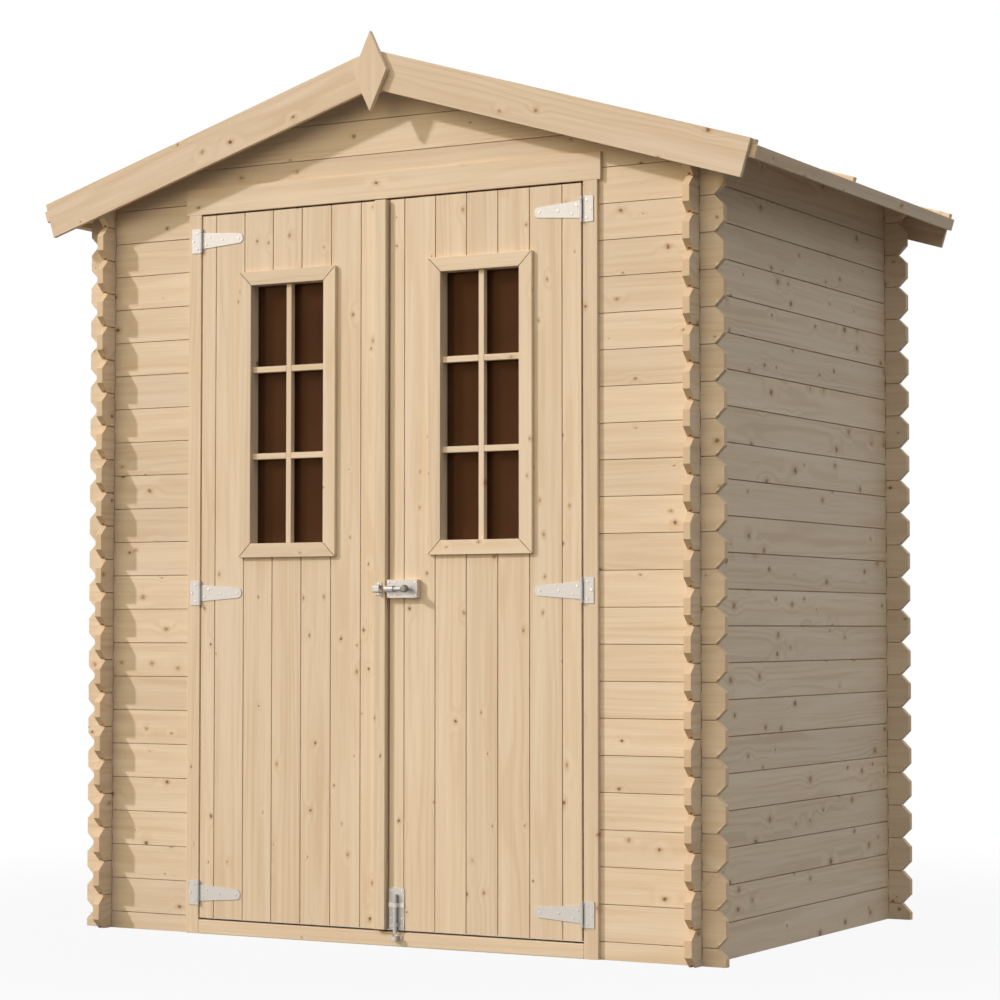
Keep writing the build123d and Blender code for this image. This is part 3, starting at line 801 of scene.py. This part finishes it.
axis = -knuckle_lift - knuckle_radius
taper = (strap_root - strap_tip) / 2 / strap_length
tip_rounding = strap_tip * 0.45
strap = sawn_block("strap", (-strap_length, -steel, -strap_root / 2), (0, 0, strap_root / 2))
for up in (-1, 1):
    saw_off(strap, (0, 0, up * strap_root / 2), (-taper, 0, up))
round_edges(strap, lambda a, b: max(a.x, b.x) < -0.99 * strap_length and abs(a.y - b.y) > steel / 2,
            tip_rounding, 8)
knuckle = turned_rod("tool", knuckle_radius, (0, axis, -strap_root / 2), (0, axis, strap_root / 2))
combine(strap, [knuckle], "UNION")
bore = turned_rod("tool", bore_radius, (0, axis, -strap_root), (0, axis, strap_root))
combine(strap, [bore], "DIFFERENCE")
ease(strap, metal_edge)
strap.data.materials.append(zinc)

plate = sawn_block("plate", (0, -steel, -plate_height / 2), (plate_end, 0, plate_height / 2))
round_edges(plate, lambda a, b: min(a.x, b.x) > 0.99 * plate_end and abs(a.y - b.y) > steel / 2,
            plate_corner, 4)
knuckle_start = strap_root / 2 + knuckle_gap
rout(plate, ((-plate_start, -knuckle_radius, -knuckle_start),
             (plate_start, knuckle_radius, knuckle_start)))
ease(plate, metal_edge)
rolls = []
for low, high in ((knuckle_start, plate_height / 2), (-plate_height / 2, -knuckle_start)):
    roll = turned_rod("roll", knuckle_radius, (0, axis, low), (0, axis, high))
    ease(roll, metal_edge)
    rolls.append(roll)
pin_end = plate_height / 2 - metal_edge
pin = turned_rod("pin", pin_radius, (0, axis, -pin_end), (0, axis, pin_end))
plate = put_together("plate", [plate, pin] + rolls)
plate.data.materials.append(zinc)

for side, turn in sides:
    straps, plates = [], []
    for height in hinge_heights:
        place = Matrix.Translation((side * pin_place, leaf_face, height))
        if side < 0:
            place = place @ Matrix.Rotation(math.pi, 4, "Y")
        for pattern, places, group in ((strap, strap_screws, straps), (plate, plate_screws, plates)):
            copies = [another(pattern)] + screws_at(places, -steel)
            for copy in copies:
                copy.data.transform(place)
            group += copies
    fit(f"{turn}_straps", straps, zinc, f"{turn}_door", "zinc_plated_steel", f"{turn}_hinge_straps")
    fit(f"{turn}_plates", plates, zinc, "shed", "zinc_plated_steel", f"{turn}_hinge_plates")
clear_away(strap, plate)

# Latch
# A sliding bolt on a zinc plated plate, packed out from the right leaf by a block of spruce so that
# it is level with the joint strip. The turned rod slides in a pressed barrel and has a cast knob.
low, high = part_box("latch_block")
packing = plane(sawn_block("packing", low, high), timber_edge, 0, 2)
fit("latch_packing", [packing], door_spruce, "right_door", "door_timber", "latch_block")

barrel_radius, barrel_length, barrel_bore = 0.0074, 0.0245, 0.0054
rod_radius, rod_rounding, latch_corner = 0.005, 0.0015, 0.003
latch_columns, latch_rows = (0.006, 0.024, 0.0825), (-0.0165, 0.0165)
rod_height = (low.z + high.z) / 2
plate_face = low.y - steel
rod_depth = plate_face - barrel_radius
barrel_end = low.x + barrel_length


def on_rod(along, depth=rod_depth):
    """A point on the line of the latch rod, or in front of it."""
    return along, depth, rod_height


latch = sawn_block("latch", (low.x, plate_face, low.z), (high.x, low.y, high.z))
round_edges(latch, lambda a, b: abs(a.y - b.y) > steel / 2, latch_corner, 4)
flange = sawn_block("tool", (low.x, rod_depth, rod_height - barrel_radius),
                    (barrel_end, plate_face + metal_edge, rod_height + barrel_radius))
barrel = turned_rod("tool", barrel_radius, on_rod(low.x), on_rod(barrel_end))
combine(latch, [flange, barrel], "UNION")
bore = turned_rod("tool", barrel_bore, on_rod(low.x - spare), on_rod(barrel_end + spare))
combine(latch, [bore], "DIFFERENCE")
ease(latch, metal_edge)
latch.data.materials.append(zinc)
latch_places = [(low.x + across, rod_height + up) for across in latch_columns for up in latch_rows]
fit("latch_face", [latch] + screws_at(latch_places, plate_face), zinc, "right_door",
    "zinc_plated_steel", "latch_plate")

knob_radius, knob_neck, knob_neck_length, knob_rounding = 0.0095, 0.0055, 0.008, 0.005
rod_low, rod_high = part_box("latch_bolt")
knob_place = rod_high.x - knob_radius
knob_foot = rod_depth - knob_neck_length
rod = turned_rod("rod", rod_radius, on_rod(rod_low.x), on_rod(knob_place))
round_edges(rod, lambda a, b: max(a.x, b.x) < rod_low.x + metal_edge, rod_rounding, 3)
neck = turned_rod("tool", knob_neck, on_rod(knob_place), on_rod(knob_place, knob_foot))
combine(rod, [neck], "UNION")
fit("latch_rod", [rod], zinc, "latch_bolt", "zinc_plated_steel", "latch_bolt")

# The knob in a darker and duller grey than the plating: the darkness is painted shade
knob_zinc_painted_shade = plated_steel("darker_knob_painted_shade", "#8A8A82", "#6E6E68", 0.45, 0.6)
# The knob's darker grey is painted shade
knob = turned_rod("knob", knob_radius, on_rod(knob_place, knob_foot), on_rod(knob_place, rod_low.y))
round_edges(knob, lambda a, b: max(a.y, b.y) < rod_low.y + metal_edge, knob_rounding, 5)
round_edges(knob, lambda a, b: min(a.y, b.y) > knob_foot - metal_edge, rod_rounding, 3)
fit("latch_knob", [knob], knob_zinc_painted_shade, "latch_bolt", "zinc_plated_steel")


def bent_keep(length, face_to_rod, place):
    """A strap bent to a loop round a rod along X, screwed down by its two feet, then put in place."""
    inner, outer, foot, bend = 0.007, 0.009, 0.016, 0.004
    keep = sawn_block("keep", (-length / 2, -steel, -foot), (length / 2, 0, foot))
    crown = sawn_block("tool", (-length / 2, -face_to_rod - outer, -outer),
                       (length / 2, -metal_edge, outer))
    round_edges(crown, lambda a, b: max(a.y, b.y) < -face_to_rod and abs(a.x - b.x) > length / 2,
                bend, 5)
    combine(keep, [crown], "UNION")
    hollow = sawn_block("tool", (-length, -face_to_rod - inner, -inner), (length, spare, inner))
    round_edges(hollow, lambda a, b: max(a.y, b.y) < -face_to_rod and abs(a.x - b.x) > length,
                bend / 2, 5)
    combine(keep, [hollow], "DIFFERENCE")
    ease(keep, metal_edge)
    keep.data.materials.append(zinc)
    parts = [keep] + screws_at([(0, up * (outer + foot) / 2) for up in (-1, 1)], -steel)
    for part in parts:
        part.data.transform(place)
    return parts


low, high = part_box("latch_keep")
place = Matrix.Translation(((low.x + high.x) / 2, high.y, rod_height))
fit("latch_loop", bent_keep(high.x - low.x, high.y - rod_depth, place), zinc, "left_door",
    "zinc_plated_steel", "latch_keep")

# Foot bolt
# A plain zinc plated bolt at the foot of the right leaf: a rod in a barrel and under a pressed band
# on a flat plate. It is pushed down into a bent loop on the threshold.
band_thickness, guide_height, guide_place, band_place = 0.0015, 0.011, 0.008, 0.056
foot_columns, foot_rows = (0.0065, 0.0375), (0.010, 0.029, 0.096)
low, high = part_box("foot_bolt_plate")
rod_low, rod_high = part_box("foot_bolt")
foot_plate_face = leaf_face - steel
rod_place = (rod_low.x + rod_high.x) / 2
foot_rod_depth = (rod_low.y + rod_high.y) / 2


def upright_rod(name, radius, start, end):
    """A round bar on the line of the foot bolt."""
    return turned_rod(name, radius, (rod_place, foot_rod_depth, start),
                      (rod_place, foot_rod_depth, end))


def cleat(piece, start):
    """Adds a barrel for the rod on two cheeks to a piece, and bores it."""
    end = start + guide_height
    cheeks = sawn_block("tool", (rod_place - barrel_radius, foot_rod_depth, start),
                        (rod_place + barrel_radius, foot_plate_face + metal_edge, end))
    combine(piece, [cheeks, upright_rod("tool", barrel_radius, start, end)], "UNION")
    combine(piece, [upright_rod("tool", barrel_bore, low.z - spare, high.z + spare)], "DIFFERENCE")
    ease(piece, metal_edge)


foot_plate = sawn_block("foot_plate", (low.x, foot_plate_face, low.z), (high.x, leaf_face, high.z))
round_edges(foot_plate, lambda a, b: abs(a.y - b.y) > steel / 2, latch_corner, 4)
cleat(foot_plate, low.z + guide_place)
foot_plate.data.materials.append(zinc)
foot_places = [(low.x + across, low.z + up) for across in foot_columns for up in foot_rows]
fit("foot_bolt_face", [foot_plate] + screws_at(foot_places, foot_plate_face), zinc, "right_door",
    "zinc_plated_steel", "foot_bolt_plate")

band = sawn_block("band", (low.x, foot_plate_face - band_thickness, low.z + band_place),
                  (high.x, foot_plate_face, low.z + band_place + guide_height))
cleat(band, low.z + band_place)
# The band is drawn in the paler zinc, whose paler colour is painted highlight
fit("foot_bolt_band", [band], painted_highlight_zinc, "right_door", "zinc_plated_steel")

foot_rod = upright_rod("foot_rod", rod_radius, rod_low.z, rod_high.z)
round_edges(foot_rod, lambda a, b: abs(a.z - b.z) < metal_edge, rod_rounding, 3)
fit("foot_rod", [foot_rod], zinc, "foot_bolt", "zinc_plated_steel", "foot_bolt")

low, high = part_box("foot_bolt_keep")
place = Matrix.Translation((rod_place, high.y, (low.z + high.z) / 2))
place = place @ Matrix.Rotation(math.pi / 2, 4, "Y")
fit("foot_loop", bent_keep(high.z - low.z, high.y - foot_rod_depth, place), zinc, "shed",
    "zinc_plated_steel", "foot_bolt_keep")
clear_away(screw_pattern)

# Studio
# A floor and a surround that look white but light the shed softly: the surround is brighter
# overhead, and the floor throws little light back. One lamp high on the left in front casts the
# shadow under the barge boards, and a broad warm one in front softens it.
floor_size, floor_roughness, floor_white = 60, 0.9, 0.93
fade_start, fade_end = 1.2, 3.2
dome_rise, dome_low, dome_high = 0.4, 0.03, 0.79
lamp_distance = 9
lamps = (("key_lamp", (0.695, 0.509, -0.509), 1.95, "#FFFAFF", 3),
         ("front_lamp", (0.4, 0.9, -0.18), 1.0, "#FFE3A6", 50))
camera_place, camera_tilt, camera_heading = (3.57044, -6.40112, 0.78598), 92.6876, 29.237
camera_sensor, camera_lens = 36, 98.13
white = linear("#FFFFFF")


def looked_at(tree):
    """1 for rays that come from the eye, straight, by gloss or through glass, and else 0."""
    rays = add_node(tree, "LightPath", {})
    seen = add_node(tree, "Math", {"operation": "MAXIMUM"},
                    {0: (rays, "Is Camera Ray"), 1: (rays, "Is Glossy Ray")})
    return add_node(tree, "Math", {"operation": "MAXIMUM"},
                    {0: (seen, 0), 1: (rays, "Is Transmission Ray")})


bpy.ops.object.select_all(action="DESELECT")
bpy.ops.mesh.primitive_plane_add(size=floor_size, location=(0, 0, 0))
floor = bpy.context.object
floor.name = "floor"
pale_floor, tree, matt = new_material("pale_studio_floor")
matt.inputs["Base Color"].default_value = linear("#585858")
matt.inputs["Roughness"].default_value = floor_roughness
glow = add_node(tree, "Emission", {"Color": white, "Strength": 1})
spot = add_node(tree, "TexCoord", {})
away = add_node(tree, "VectorMath", {"operation": "LENGTH"}, {0: (spot, "Object")})
fade = add_node(tree, "MapRange",
                {"interpolation_type": "SMOOTHSTEP", "From Min": fade_start, "From Max": fade_end,
                 "To Min": floor_white, "To Max": 1}, {"Value": (away, "Value")})
share = add_node(tree, "Math", {"operation": "MULTIPLY"},
                 {0: (looked_at(tree), 0), 1: (fade, "Result")})
mixed = add_node(tree, "MixShader", {}, {0: (share, 0), 1: (matt, "BSDF"), 2: (glow, "Emission")})
feed(tree.nodes["Material Output"], {"Surface": (mixed, 0)})
floor.data.materials.append(pale_floor)

world = bpy.data.worlds.new("white_surround")
bpy.context.scene.world = world
world.use_nodes = True
tree = world.node_tree
way = add_node(tree, "TexCoord", {})
heights = add_node(tree, "SeparateXYZ", {}, {0: (way, "Generated")})
level = add_node(tree, "MapRange", {"From Max": dome_rise, "To Min": dome_low, "To Max": dome_high},
                 {"Value": (heights, "Z")})
fill = tree.nodes["Background"]
fill.inputs["Color"].default_value = white
feed(fill, {"Strength": (level, "Result")})
backdrop = add_node(tree, "Background", {"Color": white, "Strength": 1})
mixed = add_node(tree, "MixShader", {}, {0: (looked_at(tree), 0), 1: (fill, 0), 2: (backdrop, 0)})
feed(tree.nodes["World Output"], {"Surface": (mixed, 0)})

for name, heading, energy, code, spread in lamps:
    bpy.ops.object.light_add(type="SUN", location=Vector(heading) * -lamp_distance)
    lamp = bpy.context.object
    lamp.name = name
    lamp.rotation_euler = Vector(heading).to_track_quat("-Z", "Y").to_euler()
    lamp.data.energy = energy
    lamp.data.color = linear(code)[:3]
    lamp.data.angle = math.radians(spread)

bpy.ops.object.camera_add(location=camera_place,
                          rotation=(math.radians(camera_tilt), 0, math.radians(camera_heading)))
camera = bpy.context.object
camera.data.sensor_width = camera_sensor
camera.data.lens = camera_lens
bpy.context.scene.camera = camera
bpy.context.scene.view_settings.view_transform = "Standard"
